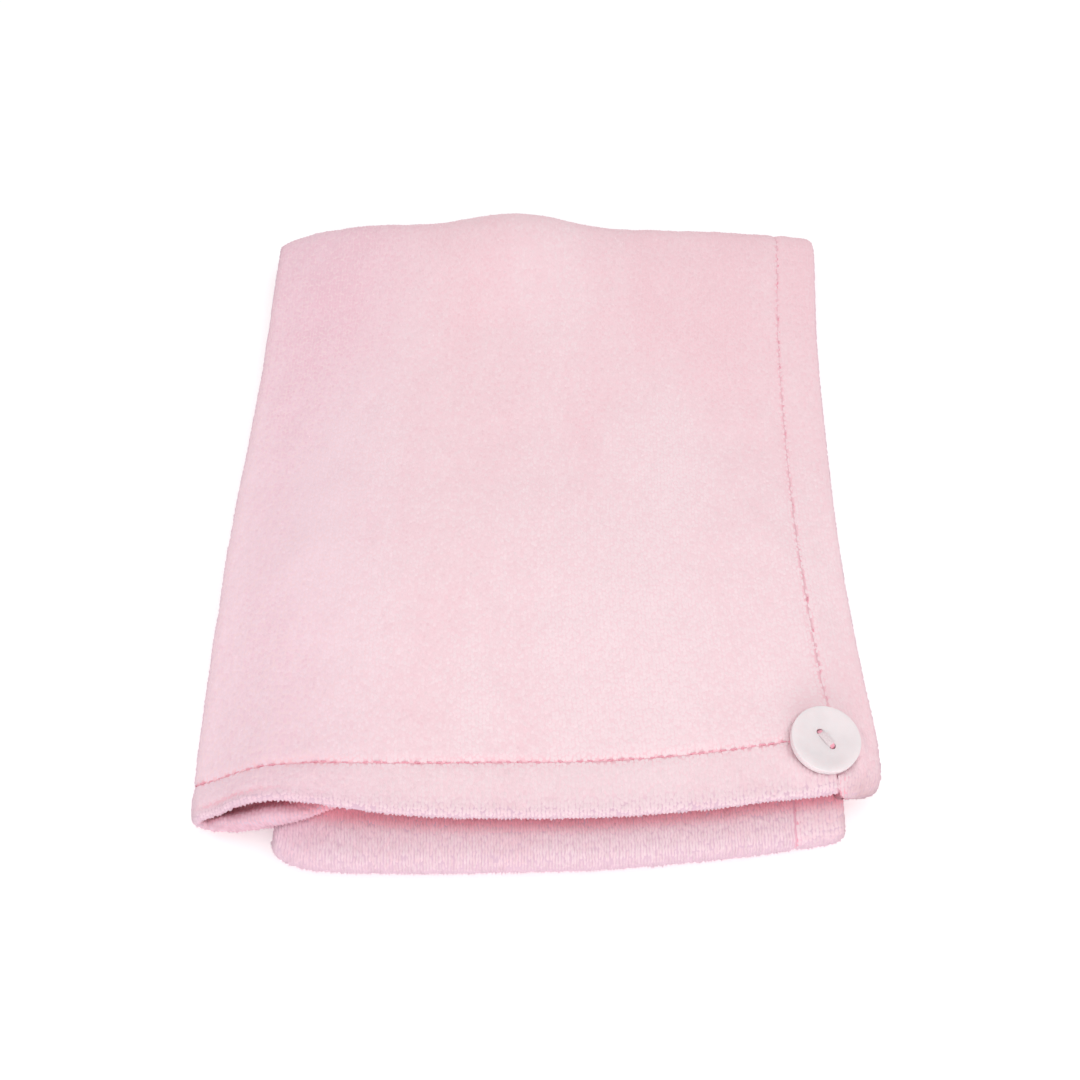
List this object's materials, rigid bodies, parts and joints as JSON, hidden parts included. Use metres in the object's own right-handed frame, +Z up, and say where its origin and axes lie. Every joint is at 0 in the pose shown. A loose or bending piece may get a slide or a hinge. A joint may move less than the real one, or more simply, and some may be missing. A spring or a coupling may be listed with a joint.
{
  "type": "hair towel turban",
  "caption": "Plush hair-drying towel sewn as a tapered bag, folded in three and lying flat, with a button at the mouth and a loop at the tip.",
  "frame": {"origin": "the middle of the folded towel where it lies on the surface, within about a millimetre of the centre of its box's base", "axes": "+X to the right across the mouth, +Y away from the mouth towards the far fold, +Z up from the surface it lies on"},
  "size_m": [0.258, 0.3255, 0.0291],
  "materials": {
    "plush_knit": "short looped microfibre plush in pale pink, matte",
    "hem_knit": "the same plush doubled and stitched, matte",
    "elastic_cord": "braided elastic cord in pink, matte",
    "button_plastic": "off-white plastic with a satin gloss"
  },
  "bodies": {
    "root": {"towel_body": "plush_knit", "mouth_hem": "hem_knit", "side_seam": "hem_knit", "fastening_loop": "elastic_cord", "button": "button_plastic"}
  },
  "joints": []
}
